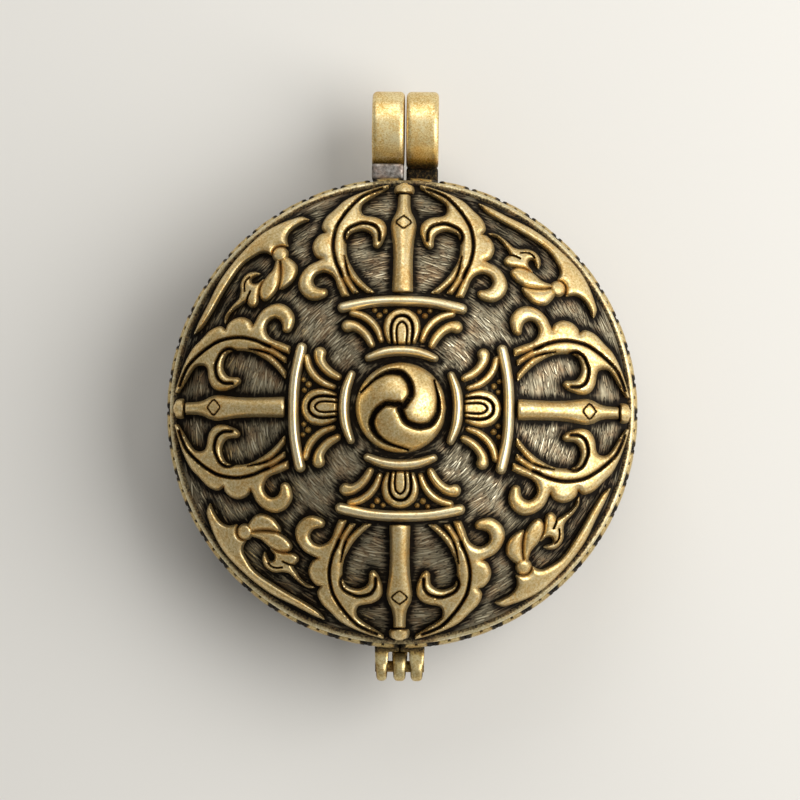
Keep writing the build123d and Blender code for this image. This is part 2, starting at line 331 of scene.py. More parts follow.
@dataclass
class Bead:
    """One raised island of the relief: an outline that rises over a rounded shoulder, with engraved lines."""

    runs: list[list[Point]]
    rise: float
    shoulder: float = 0.3
    wall: float = 0.55
    cuts: list[Cut] = field(default_factory=list)
    grain: float = 0.11
    draft: float = 0.13
    sunk: float = 0.1
    bright: float = 0.66
    pillow: float = 0.15

    def outline(self, step: float) -> np.ndarray:
        """The island's outline in steps of a length."""
        return closed_loop(self.runs, step)

    def lifted(self, points: np.ndarray, depth_in: np.ndarray) -> np.ndarray:
        """Lift of the island's points over the dome, from how far each lies inside the outline."""
        return self.wall + (self.rise - self.wall) * rounded(depth_in / self.shoulder)

    def carved(self) -> Carving:
        """Carves the island as a closed form with a top, drafted walls and an underside.

        Returns:
            The carving in plan.
        """
        loop = self.outline(self.grain)
        spots = self.filling(loop)
        points = np.vstack([loop, spots])
        size, count = len(loop), len(points)
        ring = [(i, (i + 1) % size) for i in range(size)]
        depth_in = np.concatenate([np.zeros(size), reach(spots, loop, True)])
        lift = self.lifted(points, depth_in)
        wear = self.bright * (1.06 - 0.06 * ease(depth_in / 0.3))
        sink, closest = np.zeros(count), np.full(count, np.inf)
        for cut in self.cuts:
            opened, gap = cut.opened(points, self.grain)
            sink = np.maximum(sink, cut.depth * opened)
            closest = np.minimum(closest, gap)
            wear = wear * (1 - 0.97 * opened)
        lift = np.maximum(lift - sink - self.pillow * (1 - rounded(closest / self.shoulder)), 0.02)
        along = np.roll(loop, -1, axis=0) - np.roll(loop, 1, axis=0)
        outward = np.stack([along[:, 1], -along[:, 0]], axis=1) / np.linalg.norm(along, axis=1)[:, None]
        faces = [tuple(face) for face in self.triangles(points, ring, loop)]
        plans, lifts, wears = [points], [lift], [wear]
        upper = list(range(size))
        for level, part in enumerate((0.6, 0.25, 0.0)):
            lower = list(range(count + level * size, count + (level + 1) * size))
            faces += [(upper[i], lower[i], lower[j], upper[j]) for i, j in ring]
            plans.append(loop + outward * self.draft * (1 - part))
            lifts.append(lift[:size] * part - self.sunk * (1 - part))
            wears.append(wear[:size] * min(1.0, part * 1.6))
            upper = lower
        faces += [tuple(upper[i] for i in face[::-1]) for face in self.triangles(loop, ring, loop)]
        return Carving(np.vstack(plans), np.concatenate(lifts), np.concatenate(wears), faces)

    def filling(self, loop: np.ndarray) -> np.ndarray:
        """Spreads points inside an outline, in staggered rows.

        Args:
            loop: The outline's points.

        Returns:
            The points, kept off the outline.
        """
        low, high = loop.min(axis=0), loop.max(axis=0)
        rows = []
        for index, y in enumerate(np.arange(low[1], high[1], self.grain * math.sqrt(3) / 2)):
            xs = np.arange(low[0] + index % 2 * self.grain / 2, high[0], self.grain)
            rows.append(np.column_stack([xs, np.full(len(xs), y)]))
        spots = np.vstack(rows)
        spots = spots[inside(spots, loop)]
        return spots[reach(spots, loop, True) > 0.55 * self.grain]

    @staticmethod
    def triangles(points: np.ndarray, ring: list[tuple[int, int]], loop: np.ndarray) -> np.ndarray:
        """Fills an outline with triangles.

        Args:
            points: Points of the outline, then those inside it.
            ring: The outline's edges.
            loop: The outline's points.

        Returns:
            The triangles inside the outline.
        """
        found = delaunay_2d_cdt([Vector(p) for p in points], ring, [], 0, 1e-7)
        if len(found[0]) != len(points):
            raise ValueError(f"an outline crosses itself near {loop.mean(axis=0)}")
        faces = np.array(found[2])
        middles = points[faces].mean(axis=1)
        return faces[inside(middles, loop)]


def carve(beads: list[Bead]) -> Carving:
    """Carves islands into one form."""
    return Carving.gathered([bead.carved() for bead in beads])


# Pieces, selection and node helpers


def mesh_piece(name: str, places: np.ndarray, faces: list[tuple[int, ...]],
               wear: np.ndarray) -> bpy.types.Object:
    """Makes a piece from points and faces, which carving needs because no operator gives its forms.

    Args:
        name: Name of the piece.
        places: Its points in millimetres.
        faces: Its faces.
        wear: How far each point is rubbed bright, from 0 to 1; on the ground it also holds painted shade.

    Returns:
        The new piece, smooth shaded.
    """
    mesh = bpy.data.meshes.new(name)
    mesh.from_pydata((places * MM).tolist(), [], faces)
    piece = bpy.data.objects.new(name, mesh)
    bpy.context.scene.collection.objects.link(piece)
    rub(piece, wear)
    smooth(piece, 50)
    return piece


def only(piece: bpy.types.Object) -> None:
    """Makes one piece the only one selected, and active."""
    bpy.ops.object.select_all(action="DESELECT")
    piece.select_set(True)
    bpy.context.view_layer.objects.active = piece


def smooth(piece: bpy.types.Object, degrees: float) -> None:
    """Shades a piece smooth up to an angle between faces."""
    only(piece)
    bpy.ops.object.shade_smooth_by_angle(angle=math.radians(degrees))


def places_of(piece: bpy.types.Object) -> np.ndarray:
    """The points of a piece in millimetres."""
    flat = np.empty(len(piece.data.vertices) * 3)
    piece.data.vertices.foreach_get("co", flat)
    return flat.reshape(-1, 3) / MM


def rub(piece: bpy.types.Object, wear: np.ndarray | float) -> None:
    """Writes how far each point of a piece is rubbed bright, with painted shade in it where a piece has some.
    """
    layer = piece.data.attributes.new("wear", "FLOAT", "POINT")
    shares = np.clip(np.broadcast_to(wear, len(piece.data.vertices)), 0, 1)
    layer.data.foreach_set("value", shares.astype(np.float32))


def spun(name: str, profile: list[tuple[float, float, float]], steps: int, centre: tuple[float, float, float],
         axis: tuple[float, float, float]) -> bpy.types.Object:
    """Turns a closed profile round an axis: a vertex is drawn out along the profile, then spun.

    Args:
        name: Name of the piece.
        profile: The profile's points in millimetres, the last joining the first.
        steps: Number of steps round the axis.
        centre: A point on the axis.
        axis: The axis's direction.

    Returns:
        The turned piece.
    """
    bpy.ops.object.select_all(action="DESELECT")
    bpy.ops.mesh.primitive_plane_add(size=MM, location=Vector(profile[0]) * MM)
    piece = bpy.context.object
    piece.name = piece.data.name = name
    bpy.ops.object.transform_apply(location=True, rotation=True, scale=True)
    bpy.ops.object.mode_set(mode="EDIT")
    bpy.ops.mesh.select_mode(type="VERT")
    bpy.ops.mesh.select_all(action="SELECT")
    bpy.ops.mesh.merge(type="COLLAPSE")
    closing = [*profile[1:], profile[0]]
    for last, place in zip(profile, closing):
        if max(abs(a - b) for a, b in zip(last, place)) > 1e-6:
            move = (Vector(place) - Vector(last)) * MM
            bpy.ops.mesh.extrude_region_move(TRANSFORM_OT_translate={"value": move})
    bpy.ops.mesh.select_all(action="SELECT")
    bpy.ops.mesh.spin(steps=steps, angle=2 * math.pi, center=Vector(centre) * MM, axis=axis)
    bpy.ops.mesh.select_all(action="SELECT")
    bpy.ops.mesh.remove_doubles(threshold=1e-6)
    bpy.ops.mesh.dissolve_degenerate(threshold=1e-7)
    bpy.ops.mesh.select_all(action="SELECT")
    bpy.ops.mesh.normals_make_consistent(inside=False)
    bpy.ops.object.mode_set(mode="OBJECT")
    return piece


def lathed(name: str, profile: list[Point], steps: int, crease: float) -> bpy.types.Object:
    """Turns a piece about the middle of the box.

    Args:
        name: Name of the piece.
        profile: Radius and height of each point of its profile.
        steps: Number of steps round the axis.
        crease: Angle in degrees from which its edges stay sharp.

    Returns:
        The turned piece.
    """
    piece = spun(name, [(radius, 0.0, z) for radius, z in profile], steps, (0, 0, 0), (0, 0, 1))
    smooth(piece, crease)
    return piece


def rolled(name: str, section: list[Point], middle_x: float, axis_y: float, steps: int) -> bpy.types.Object:
    """A strap rolled about a line along X at the seam, from its section across and away from that line."""
    profile = [(middle_x + x, axis_y + out, SEAM_Z) for x, out in section]
    return spun(name, profile, steps, (0, axis_y, SEAM_Z), (1, 0, 0))


def from_seam(side: int, near: float, far: float) -> list[float]:
    """Two heights on one side of the seam, the lower one first."""
    return sorted((SEAM_Z + side * near, SEAM_Z + side * far))


def block(low: tuple[float, float, float], high: tuple[float, float, float], edge: float) -> bpy.types.Object:
    """Makes a block with rounded edges, to be joined to another form.

    Args:
        low: Its lowest corner.
        high: Its highest corner.
        edge: Width of its bevel.

    Returns:
        The block.
    """
    middle = (Vector(low) + Vector(high)) / 2
    bpy.ops.object.select_all(action="DESELECT")
    bpy.ops.mesh.primitive_cube_add(size=1, location=middle * MM)
    piece = bpy.context.object
    piece.scale = (Vector(high) - Vector(low)) * MM
    bpy.ops.object.transform_apply(location=True, rotation=True, scale=True)
    bevel = piece.modifiers.new("edges", "BEVEL")
    bevel.width = edge * MM
    bevel.segments = 3
    bpy.ops.object.modifier_apply(modifier=bevel.name)
    return piece


def cast(name: str, pieces: list[bpy.types.Object], grain: float, rounds: int) -> bpy.types.Object:
    """Melts joined forms into one casting with softened edges.

    Args:
        name: Name of the casting.
        pieces: The forms, the first of which becomes the casting.
        grain: Size of its mesh in millimetres.
        rounds: Rounds of smoothing.

    Returns:
        The casting.
    """
    bpy.ops.object.select_all(action="DESELECT")
    for piece in pieces:
        piece.select_set(True)
    bpy.context.view_layer.objects.active = pieces[0]
    if len(pieces) > 1:
        bpy.ops.object.join()
    casting = bpy.context.object
    casting.name = casting.data.name = name
    melt = casting.modifiers.new("melt", "REMESH")
    melt.mode = "VOXEL"
    melt.voxel_size = grain * MM
    bpy.ops.object.modifier_apply(modifier=melt.name)
    soften = casting.modifiers.new("soften", "SMOOTH")
    soften.factor = 0.5
    soften.iterations = rounds
    bpy.ops.object.modifier_apply(modifier=soften.name)
    smooth(casting, 60)
    return casting


def add_node(tree: bpy.types.NodeTree, kind: str, settings: dict[str, object] | None = None,
             inputs: dict[str | int, object] | None = None) -> bpy.types.Node:
    """Adds a node with its settings and links.

    Args:
        tree: Tree to add to.
        kind: Type of the node.
        settings: Its properties.
        inputs: Values of its inputs, or the outputs linked to them.

    Returns:
        The new node.
    """
    node = tree.nodes.new(kind)
    for key, value in (settings or {}).items():
        setattr(node, key, value)
    for key, value in (inputs or {}).items():
        if isinstance(value, bpy.types.NodeSocket):
            tree.links.new(value, node.inputs[key])
        else:
            node.inputs[key].default_value = value
    return node


def noise(tree: bpy.types.NodeTree, place: bpy.types.NodeSocket, scale: float, detail: float,
          roughness: float) -> bpy.types.NodeSocket:
    """Adds a noise of so many grains in a unit of length, and gives its strength from 0 to 1."""
    return add_node(tree, "ShaderNodeTexNoise", None, {
        "Vector": place, "Scale": scale, "Detail": detail, "Roughness": roughness}).outputs["Fac"]


def maths(tree: bpy.types.NodeTree, operation: str, *values: bpy.types.NodeSocket | float,
          clamped: bool = False) -> bpy.types.NodeSocket:
    """Adds one step of arithmetic on numbers or linked outputs, held between 0 and 1 where clamped."""
    settings = {"operation": operation, "use_clamp": clamped}
    return add_node(tree, "ShaderNodeMath", settings, dict(enumerate(values))).outputs[0]


def graded(tree: bpy.types.NodeTree, value: bpy.types.NodeSocket, source: Point,
           target: Point) -> bpy.types.NodeSocket:
    """Adds a step that maps a value from its own range to another."""
    return add_node(tree, "ShaderNodeMapRange", None, {
        "Value": value, "From Min": source[0], "From Max": source[1],
        "To Min": target[0], "To Max": target[1]}).outputs["Result"]


def linear(colour: str) -> tuple[float, float, float, float]:
    """An sRGB hex colour as linear values."""
    shares = [int(colour[i:i + 2], 16) / 255 for i in (1, 3, 5)]
    return (*[s / 12.92 if s <= 0.04045 else ((s + 0.055) / 1.055) ** 2.4 for s in shares], 1.0)


# Finishes


@dataclass(frozen=True)
class AntiqueBrass:
    """Cast brass, darkened all over and rubbed back, so that the high places shine through a dark patina."""

    name: str
    rubbed: str
    body: str
    dull: str
    patina: str
    base_wear: float = 0.0
    speckle: float = 1.0
    speckle_mm: float = 0.24
    blotch: float = 0.35
    blotch_mm: float = 2.2
    rough_worn: float = 0.37
    rough_dark: float = 0.7
    pits: float = 0.25
    pit_mm: float = 0.03
    flush: str = "#B4702A"
    flush_share: float = 0.6
    flush_mm: float = 1.8

    def grain(self, tree: bpy.types.NodeTree, place: bpy.types.NodeSocket) -> bpy.types.NodeSocket:
        """Adds the fine speckle of the skin at a place in metres, from 0 to 1."""
        return noise(tree, place, 1 / (self.speckle_mm * MM), 4.0, 0.65)

    def material(self) -> bpy.types.Material:
        """Builds the finish.

        Returns:
            The material, which reads Object coordinates and the piece's own wear, in which some pieces also
            carry painted shade.
        """
        material = bpy.data.materials.new(self.name)
        material.use_nodes = True
        tree = material.node_tree
        tree.nodes.clear()
        place = add_node(tree, "ShaderNodeTexCoord").outputs["Object"]
        fine = self.grain(tree, place)
        broad = noise(tree, place, 1 / (self.blotch_mm * MM), 3.0, 0.55)
        wear = add_node(tree, "ShaderNodeAttribute", {"attribute_name": "wear"}).outputs["Fac"]
        based = maths(tree, "ADD", wear, self.base_wear - 0.5 * self.speckle - 0.5 * self.blotch)
        speckled = maths(tree, "MULTIPLY_ADD", fine, self.speckle, based)
        worn = maths(tree, "MULTIPLY_ADD", broad, self.blotch, speckled, clamped=True)
        ramp = add_node(tree, "ShaderNodeValToRGB", None, {"Fac": worn})
        stops = ((0.12, self.patina), (0.36, self.dull), (0.6, self.body), (0.92, self.rubbed))
        for _ in stops[2:]:
            ramp.color_ramp.elements.new(0.5)
        for stop, (share, colour) in zip(ramp.color_ramp.elements, stops):
            stop.position = share
            stop.color = linear(colour)
        warm = noise(tree, place, 1 / (self.flush_mm * MM), 5.0, 0.7)
        flush = graded(tree, warm, (0.45, 0.75), (0.0, self.flush_share))
        colour = add_node(tree, "ShaderNodeMix", {"data_type": "RGBA", "blend_type": "SOFT_LIGHT"}, {
            0: flush, 6: ramp.outputs["Color"], 7: linear(self.flush)})
        metal = graded(tree, worn, (0.1, 0.55), (0.3, 0.92))
        rough = graded(tree, worn, (0.15, 0.85), (self.rough_dark, self.rough_worn))
        bump = add_node(tree, "ShaderNodeBump", None, {
            "Strength": self.pits, "Distance": self.pit_mm * MM, "Height": fine})
        sheen = graded(tree, worn, (0.1, 0.5), (0.15, 0.5))
        shader = add_node(tree, "ShaderNodeBsdfPrincipled", None, {
            "Specular IOR Level": sheen, "Base Color": colour.outputs[2], "Metallic": metal,
            "Roughness": rough, "Normal": bump.outputs["Normal"]})
        add_node(tree, "ShaderNodeOutputMaterial", None, {"Surface": shader.outputs["BSDF"]})
        return material


@dataclass(frozen=True)
class ChasedBrass(AntiqueBrass):
    """Brass with a hatched ground, whose grain is drawn out round the middle of the box."""

    hatch_mm: float = 0.2
    hatch_length_mm: float = 2.4
    # The radius at which a stroke has its true length, in the middle of the ground.
    true_at_mm: float = 15.0

    def grain(self, tree: bpy.types.NodeTree, place: bpy.types.NodeSocket) -> bpy.types.NodeSocket:
        """Adds the fine hatching between the strokes.

        Args:
            tree: The material's tree.
            place: Where on the piece, in metres.

        Returns:
            The hatching, from 0 to 1.
        """
        axes = add_node(tree, "ShaderNodeSeparateXYZ", None, {0: place}).outputs
        flat = add_node(tree, "ShaderNodeCombineXYZ", None, {"X": axes["X"], "Y": axes["Y"]})
        radius = add_node(tree, "ShaderNodeVectorMath", {"operation": "LENGTH"}, {0: flat.outputs[0]})
        angle = maths(tree, "ARCTAN2", axes["Y"], axes["X"])
        across = maths(tree, "MULTIPLY", radius.outputs["Value"], 1 / (self.hatch_mm * MM))
        along = maths(tree, "MULTIPLY", angle, self.true_at_mm / self.hatch_length_mm)
        spread = add_node(tree, "ShaderNodeCombineXYZ", None, {"X": across, "Y": along})
        return noise(tree, spread.outputs[0], 1.0, 3.0, 0.6)


class Finish(Enum):
    """The box's finishes and the record's slot that each one fills."""

    # Warm pale brass on the high places, brown in the hollows.
    RELIEF = ("relief_brass", AntiqueBrass(
        "antique_brass_rubbed_relief", "#F8E9BF", "#D3B87C", "#8F743E", "#120A02"))
    # Grey brown strokes that barely catch the light on a near black ground.
    GROUND = ("shell_brass", ChasedBrass(
        "antique_brass_chased_ground", "#DDD5BA", "#ADA388", "#736A55", "#110C05",
        rough_dark=0.75, pits=0.5))
    # A duller and greyer line, as on an edge that hands keep touching.
    RIM = ("relief_brass", AntiqueBrass(
        "antique_brass_rubbed_rim", "#F1E7C8", "#CBBB8E", "#7A6A48", "#14110D"))
    # Brown all over, with a soft sheen where it rubs on cloth.
    SHELL = ("shell_brass", AntiqueBrass(
        "antique_brass_dark_shell", "#DCC78F", "#A99259", "#5C4D2E", "#120F0A", base_wear=0.06))
    # Speckled casting skin, rubbed bright on its crown.
    LOOP = ("loop_brass", AntiqueBrass(
        "antique_brass_speckled_loop", "#FBEBB8", "#C8A350", "#6E5622", "#140E06",
        speckle=1.1, speckle_mm=0.17, blotch=0.4, pits=0.6))
    # Dull brass with dark folds.
    HINGE = ("hinge_brass", AntiqueBrass(
        "antique_brass_hinge", "#E6D6A2", "#B39A5E", "#64522D", "#110E09", base_wear=0.06))
    # Clean turned brass that the cover keeps from the air.
    COLLAR = ("collar_brass", AntiqueBrass(
        "turned_brass_collar", "#E4D094", "#C6A75E", "#8F753E", "#2A2217",
        base_wear=0.4, rough_worn=0.28, pits=0.1))
    # Lumpy grey solder that never took the patina.
    SOLDER = ("loop_brass", AntiqueBrass(
        "soft_solder_grey", "#C9C4BE", "#96918A", "#55504A", "#1A1714",
        speckle=0.9, speckle_mm=0.35, pits=0.8))

    @property
    def slot(self) -> str:
        """The record's material slot."""
        return self.value[0]

    @property
    def recipe(self) -> AntiqueBrass:
        """How the finish is made."""
        return self.value[1]


class Workshop:
    """Dresses pieces in their finishes and fastens them to the frame."""

    def __init__(self) -> None:
        self.finishes = {finish: finish.recipe.material() for finish in Finish}

    def fasten(self, piece: bpy.types.Object, finish: Finish, body: Body, *nodes: str) -> None:
        """Gives a piece its finish and its body.

        Args:
            piece: The finished piece.
            finish: Its finish.
            body: The half that it moves with.
            *nodes: The CAD nodes that it stands for.
        """
        piece.data.materials.clear()
        piece.data.materials.append(self.finishes[finish])
        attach(piece, body.value)
        if nodes:
            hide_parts(*nodes)
        LOG.info("%s: %d faces on %s", piece.name, len(piece.data.polygons), body.value)

    def set_relief(self, form: Carving, node: str, degrees: float, flipped: bool = False) -> None:
        """Sets a copy of a carved ornament on the cover, for the CAD node that it stands for."""
        piece = form.set_on(f"carved_{node}", degrees, flipped)
        self.fasten(piece, Finish.RELIEF, Body.COVER, node)


# Sub-assemblies of the relief


@dataclass
class Rod(Bead):
    """A round rod along the arm, whose section follows its width at each height."""

    side: list[Point] = field(default_factory=list)

    def lifted(self, points: np.ndarray, depth_in: np.ndarray) -> np.ndarray:
        """Shapes the rod's round top.

        Args:
            points: Points in plan.
            depth_in: How far each lies inside the outline.

        Returns:
            The lift of each over the dome.
        """
        half = np.interp(points[:, 1], [y for _, y in self.side], [x for x, _ in self.side])
        share = np.clip(np.abs(points[:, 0]) / half, 0, 1)
        return self.wall + (self.rise - self.wall) * np.sqrt(1 - share**2) - 0.15 * (1 - ease(depth_in / 0.2))


@dataclass
class VajraArm:
    """One arm of the crossed vajra, drawn pointing to +Y and copied four times."""

    prong_rise: float = 1.2
    shaft_rise: float = 1.45
    bar_rise: float = 1.6
    lotus_rise: float = 1.05
    flange_half: float = 0.46
    collar_half: float = 0.44
    grains: tuple[tuple[float, float, float], ...] = (
        (1.75, 10.0, 0.2), (2.35, 9.55, 0.26), (2.85, 10.1, 0.2))

    def prong(self) -> list[Bead]:
        """The flame-edged side prong on the right, with its crescent, hook and tails."""
        runs = [
            [(1.7, 23.9), (3.2, 23.45), (5.0, 22.75), (6.3, 22.0), (7.1, 21.2), (8.1, 20.2), (8.45, 19.5),
             (8.5, 19.0), (8.1, 18.45)],
            [(8.1, 18.45), (8.7, 18.25), (9.25, 17.6), (9.42, 16.9), (9.3, 16.35), (9.0, 15.85),
             (8.42, 15.57)],
            [(8.42, 15.57), (9.0, 15.25), (9.7, 14.9), (10.3, 14.3), (10.7, 13.5), (10.78, 12.75),
             (10.5, 12.05), (10.0, 11.55), (9.3, 11.25), (8.55, 11.35), (8.0, 11.6), (7.83, 11.95),
             (8.0, 12.27), (8.55, 12.35), (9.1, 12.6), (9.4, 13.2), (9.25, 13.7), (8.85, 14.07),
             (8.3, 14.25), (7.7, 14.12), (7.2, 13.75), (6.9, 13.25), (6.7, 12.65), (6.45, 12.05),
             (6.25, 11.6)],
            [(6.25, 11.6), (5.57, 11.65)],
            [(5.57, 11.65), (6.08, 12.9), (6.33, 13.5), (6.5, 14.2)],
            [(6.5, 14.2), (6.2, 13.6), (5.8, 12.93), (5.1, 11.95)],
            [(5.1, 11.95), (4.62, 12.0)],
            [(4.62, 12.0), (5.27, 12.93), (5.65, 13.7), (5.87, 14.7)],
            [(5.87, 14.7), (5.5, 13.8), (4.78, 12.93), (3.7, 12.0)],
            [(3.7, 12.0), (3.0, 12.0)],
            [(3.0, 12.0), (4.08, 12.93), (4.95, 13.95), (5.7, 15.2)],
            [(5.7, 15.2), (5.95, 16.0), (6.05, 17.0), (6.0, 17.6), (5.75, 18.25), (5.2, 18.6), (4.4, 18.78),
             (3.7, 18.6), (3.2, 18.15), (3.08, 17.6), (3.05, 17.05), (2.75, 16.8), (2.38, 17.1), (2.05, 17.8),
             (1.87, 18.4), (1.9, 19.2), (2.2, 19.7), (2.9, 20.1), (4.0, 20.3), (4.4, 20.5), (4.6, 21.0),
             (4.5, 21.6), (4.0, 22.1), (2.9, 22.8), (1.75, 23.55)],
            [(1.75, 23.55), (1.7, 23.9)],
        ]
        crescent = [(2.4, 23.4), (3.4, 23.0), (4.5, 22.4), (5.8, 21.0), (6.5, 20.0), (7.0, 19.0), (7.3, 17.0),
                    (6.95, 15.2), (6.5, 14.2), (6.3, 13.7)]
        ledge = [(2.5, 17.6), (2.55, 18.5), (2.95, 19.1), (3.7, 19.4), (4.4, 19.45), (5.1, 19.22),
                 (5.7, 18.9), (6.08, 18.4), (6.15, 17.9), (5.95, 17.4)]
        slit = [(5.55, 13.8), (5.75, 14.3), (5.95, 15.1), (6.1, 15.9)]
        cuts = [Cut(crescent, 0.27, 0.5), Cut(ledge, 0.26, 0.5), Cut(slit, 0.18, 0.4, narrowed=0.7)]
        return [Bead(runs, self.prong_rise, 0.7, 0.5, cuts, pillow=0.2)]

    def shaft(self) -> list[Bead]:
        """The round middle prong with its swelling, engraved diamond and capped tip."""
        side = [(1.0, 12.15), (0.95, 13.5), (0.92, 15.5), (1.0, 17.2), (1.2, 18.6), (1.27, 19.2), (1.1, 20.0),
                (0.75, 20.7), (0.6, 21.3), (0.55, 22.2), (0.57, 22.75)]
        cap = [(0.57, 22.75), (0.92, 22.95), (1.0, 23.3), (0.85, 23.8), (0.45, 23.98), (0.0, 24.0)]
        runs = [[(0.0, 12.1), (1.0, 12.15)], side, cap, mirrored(cap), mirrored(side),
                [(-1.0, 12.15), (0.0, 12.1)]]
        diamond = [(0.0, 20.24), (0.4, 19.95), (0.78, 19.55), (0.4, 19.12), (0.0, 18.86), (-0.4, 19.12),
                   (-0.78, 19.55), (-0.4, 19.95)]
        neck = [(-0.8, 22.85), (0.0, 22.8), (0.8, 22.85)]
        cuts = [Cut(diamond, 0.12, 0.22, True), Cut(neck, 0.19, 0.5)]
        return [Rod(runs, self.shaft_rise, wall=0.3, cuts=cuts, pillow=0.0, side=side + cap[1:-1])]

    def flange_bar(self) -> list[Bead]:
        """The long rod across the arm below the prongs."""
        line = [(-6.15, 10.36), (-3.2, 10.94), (0.0, 11.12), (3.2, 10.94), (6.15, 10.36)]
        return [Bead(ribbon(line, [self.flange_half] * 5), self.bar_rise, self.flange_half, 0.8, bright=0.9)]

    def collar_bar(self) -> list[Bead]:
        """The short rod across the arm next to the hub."""
        line = [(-3.4, 5.12), (-1.8, 5.68), (0.0, 5.87), (1.8, 5.68), (3.4, 5.12)]
        outline = ribbon(line, [0.3, 0.42, self.collar_half, 0.42, 0.3])
        return [Bead(outline, self.bar_rise, self.collar_half, 0.8, bright=0.86)]

    def lotus(self) -> list[Bead]:
        """The petals between the two rods: a nested middle petal, strands, curled ends and grains."""
        side = [(1.35, 6.7), (1.68, 7.5), (1.82, 8.35), (1.56, 9.35), (0.78, 10.05), (0.0, 10.25)]
        runs = [[(-1.35, 6.7), (0.0, 6.6), (1.35, 6.7)], side, mirrored(side)]
        ring = [(0.98, 6.5), (1.12, 8.1), (0.96, 8.85), (0.54, 9.36), (0.0, 9.5)]
        core = [(0.46, 6.5), (0.54, 8.0), (0.4, 8.55), (0.0, 8.85)]
        cuts = [Cut(ring + mirrored(ring)[1:], 0.22, 0.7), Cut(core + mirrored(core)[1:], 0.15, 0.4)]
        beads = [Bead(runs, self.lotus_rise, 0.26, 0.45, cuts, 0.08)]
        strand = ((2.1, 6.95), (2.5, 8.0), (3.2, 8.9), (4.1, 9.5), (5.15, 9.8))
        curl = ((3.1, 6.5), (3.55, 7.3), (4.2, 8.0), (4.95, 8.42), (5.6, 8.43))
        for way in (1, -1):
            upper = ribbon([(way * x, y) for x, y in strand], [0.19, 0.28, 0.31, 0.31, 0.27])
            lower = ribbon([(way * x, y) for x, y in curl], [0.29, 0.36, 0.38, 0.45, 0.56])
            beads.append(Bead(upper, self.lotus_rise, 0.3, 0.5))
            beads.append(Bead(lower, self.lotus_rise + 0.15, 0.4, 0.5))
            beads += [Bead(disc((way * x, y), size), 0.4, size, 0.1, bright=0.38)
                      for x, y, size in self.grains]
        return beads

    def beads(self) -> list[Bead]:
        """Every island of the arm's right half, which stands for both halves."""
        return self.prong() + self.shaft() + self.flange_bar() + self.collar_bar() + self.lotus()

    def build(self, shop: Workshop) -> None:
        """Carves the arm once and sets its four copies on the cover.

        Args:
            shop: The workshop that dresses the pieces.
        """
        kinds = {"flange_bar": self.flange_bar(), "collar_bar": self.collar_bar(), "lotus": self.lotus(),
                 "shaft": self.shaft()}
        forms = {kind: carve(beads) for kind, beads in kinds.items()}
        prong = carve(self.prong())
        for arm in Arm:
            turn, left, right = arm.value
            name = arm.name.lower()
            for kind, form in forms.items():
                shop.set_relief(form, f"{kind}_{name}", turn)
            for side, flipped in ((left, True), (right, False)):
                shop.set_relief(prong, f"prong_{name}_{side}", turn, flipped)


